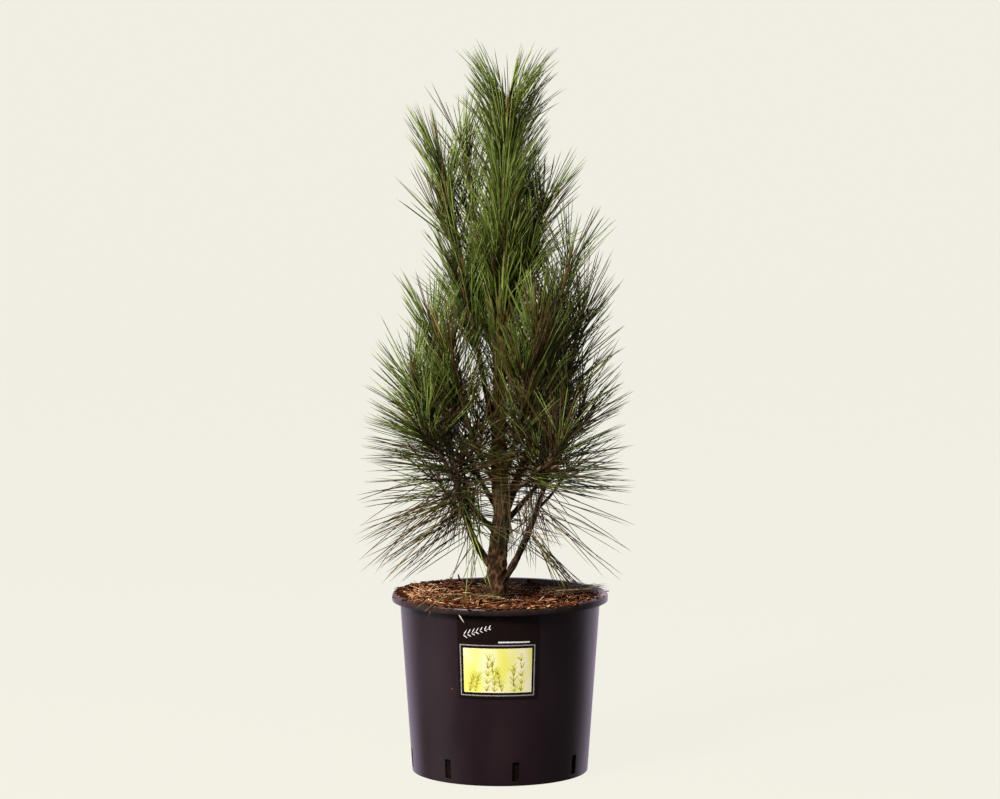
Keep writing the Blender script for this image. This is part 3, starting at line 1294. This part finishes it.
# %% Grow and join the needles
SIDES = {
    "left": ("left_low", "left_out", "front_left", "left_high", "left_top"),
    "right": ("right_low", "right_out", "right_high", "right_top", "right_front", "front_right"),
    "middle": ("leader_low", "leader_mid", "leader_top", "front_high"),
    "back": ("back_left", "back_right", "back_mid", "back_high"),
}
feet = []
total = 0
for i, (side, names) in enumerate(SIDES.items()):
    dice = np.random.default_rng(500 + i)
    rows = []
    for name in names:
        shares = SHARES[LIGHT_ON[name]]
        gap = SPACING.get(name, SPACING_ELSEWHERE)
        leans = LEANS.get(name, (1, 1))
        longer = LONGER.get(name, 1)
        for line, share, radii in masses[name]:
            rows.append(grow(line, share, float(radii[0]), shares, gap, leans, longer, dice))
    rows += [hang(*bundle, "old", dice) for bundle in HANGING.get(side, ())]
    if side == "right":
        rows.append(hang(*SUNLIT_TUFT, "sunny", dice))
    rows = [np.concatenate(group) for group in zip(*rows)]
    keep = clear_of_pot(*rows[:4]) & inside_box(*rows[:4])
    keep &= through_openings(dice, *rows[:4])
    roots, ways, lengths, bends, shades = [row[keep] for row in rows]
    widths = dice.uniform(0.85, 1.15, len(roots)) * NEEDLE_WIDTH
    needles = spindles(
        f"needles_{side}", roots, ways, lengths, widths, needle_finishes, NEEDLE_SIDES,
        NEEDLE_PROFILE, shades=shades, bends=bends)
    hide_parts(*[f"foliage_{name}" for name in names])
    feet.append((roots, ways))
    total += len(roots)
    print(needles.name, len(roots), "needles,", triangles(needles), "triangles")
print(total, "needles in all")

# %% [markdown]
# Under the needles lie the shoots themselves: thin limbs of scaly brown bark, a pointed bud at each
# end, and at each pair's foot the papery sheath that holds it.

# %% Stems
shoot_bark = Finish("shoot_bark", (0.32, 0.14, 0.05), 0.7)
ring_tone = shoot_bark.noise(300.0, 4.0)
old_wood = shoot_bark.between((0.018, 0.010, 0.005), (0.085, 0.042, 0.016), ring_tone)
young_wood = shoot_bark.between((0.060, 0.030, 0.010), (0.230, 0.110, 0.034), ring_tone)
higher_up = shoot_bark.coordinate(UP) * 2.4 - 0.80
shoot_bark.feed("Base Color", shoot_bark.between(old_wood, young_wood, higher_up))
shoot_bark.bump(shoot_bark.cells(700.0), 0.0008, 0.8)

shoots = [own for name, group in masses.items() if not name.startswith("leader") for own in group]
stems = limbs("stems", [(line, radii) for line, _, radii in shoots], smoothness=3)
bpy.ops.object.shade_smooth()
stems.data.materials.append(shoot_bark.material)
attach(stems, "root")
print("stems", triangles(stems), "triangles")

# %% Buds and sheaths
BUD_PROFILE = ((0, 0.7), (0.25, 1), (0.6, 0.75), (0.85, 0.35))
BUD_LENGTH, BUD_WIDTH, BUD_SUNK = 0.012, 0.0044, 0.002
SHEATH_LENGTH, SHEATH_WIDTH = 0.007, 0.0019

bud_scale = Finish("bud_scale", (0.17, 0.095, 0.045), 0.6)
tips = np.array([line[-1] for line, _, _ in shoots] + [trunk_centre(TRUNK_TOP)])
aims = np.array([line[-1] - line[-3] for line, _, _ in shoots] + [(0, 0, 1)])
buds = spindles(
    "buds", tips - unit(aims) * BUD_SUNK, aims, BUD_LENGTH, BUD_WIDTH, [bud_scale.material], 8,
    BUD_PROFILE)

sheath = Finish("sheath", (0.16, 0.10, 0.055), 0.7)
roots, ways = [np.concatenate(group) for group in zip(*feet)]
sheaths = spindles(
    "sheaths", roots, ways, SHEATH_LENGTH, SHEATH_WIDTH, [sheath.material], 3, ((0, 1),))
print(len(tips), "buds; sheaths", triangles(sheaths), "triangles")

# %% [markdown]
# Under the plant lie its own dry needles, some of them at the right where the lowest bough hangs
# over, and a few bleached ones hang over the lip. Single crumbs of bark, some of them bleached or
# yellow, lie in front or stick to the lip and the wall, as on any pot that has been moved.

# %% Fallen needles
FALLEN_WIDTH = 0.0012
FALLEN = (
    (14, (0.04, -0.03, 0.23), (0.075, 0.05, 0.235), (0.095, -0.01, 0.2345), (0.149, 0.06, 0.2375)),
    (16, (-0.09, -0.09, 0.23), (0.02, 0.0, 0.233), (-0.08, -0.08, 0.229), (0.08, 0.06, 0.231)),
    (10, (-0.04, 0.02, 0.228), (0.08, 0.08, 0.231), (-0.08, -0.02, 0.229), (0.08, 0.08, 0.232)),
)
OVER_THE_LIP = (
    4, (-0.064, -0.106, 0.24), (-0.056, -0.098, 0.243), (-0.112, -0.116, 0.22), (-0.096, -0.112, 0.225))
dice = np.random.default_rng(41)
rows = [hang(*bundle, "dry", dice, 0.01) for bundle in FALLEN]
rows.append(hang(*OVER_THE_LIP, "bleached", dice, 1.2))
roots, ways, lengths, bends, shades = [np.concatenate(group) for group in zip(*rows)]
fallen = spindles(
    "fallen_needles", roots, ways, lengths, FALLEN_WIDTH, needle_finishes, NEEDLE_SIDES,
    NEEDLE_PROFILE, shades=shades, bends=bends)
print(len(roots), "fallen needles")

# %% Crumbs of bark
CRUMB_PROFILE = ((0, 0.5), (0.3, 1), (0.8, 0.7))
CRUMBS = np.array((
    (-0.0515, -0.1310, 0.2225, -0.0445, -0.1313, 0.2115, 0.0015),
    (-0.0045, -0.1300, 0.2182, -0.0010, -0.1300, 0.2160, 0.0013),
    (0.0320, -0.1262, 0.2165, 0.0465, -0.1215, 0.2192, 0.0009),
    (-0.0620, -0.1066, 0.1245, -0.0592, -0.1083, 0.1238, 0.0012),
    (-0.0520, 0.1050, 0.2270, -0.0560, 0.1020, 0.2420, 0.0032),
    (0.0260, -0.1130, 0.2280, 0.0400, -0.1180, 0.2310, 0.0046),
    (0.0470, -0.1060, 0.2285, 0.0380, -0.1160, 0.2315, 0.0036),
    (0.0500, -0.1110, 0.2290, 0.0620, -0.1070, 0.2310, 0.0034),
    (0.0180, -0.1040, 0.2280, 0.0270, -0.1080, 0.2300, 0.0030),
    (-0.0280, -0.1150, 0.2290, -0.0160, -0.1190, 0.2315, 0.0042),
))
reach = CRUMBS[:, 3:6] - CRUMBS[:, :3]
crumb_shades = np.array((5, 3, 3, 2, 0, 6, 6, 6, 6, 3))
pale = Finish("mulch_pale", (0.70, 0.62, 0.50), 0.85)
yellow = Finish("mulch_yellow", (0.56, 0.38, 0.11), 0.85)
crumbs = spindles(
    "bark_crumbs", CRUMBS[:, :3], reach, np.linalg.norm(reach, axis=1), CRUMBS[:, 6],
    [*browns, pale.material, yellow.material], 5, CRUMB_PROFILE, shades=crumb_shades)
print(len(CRUMBS), "crumbs")
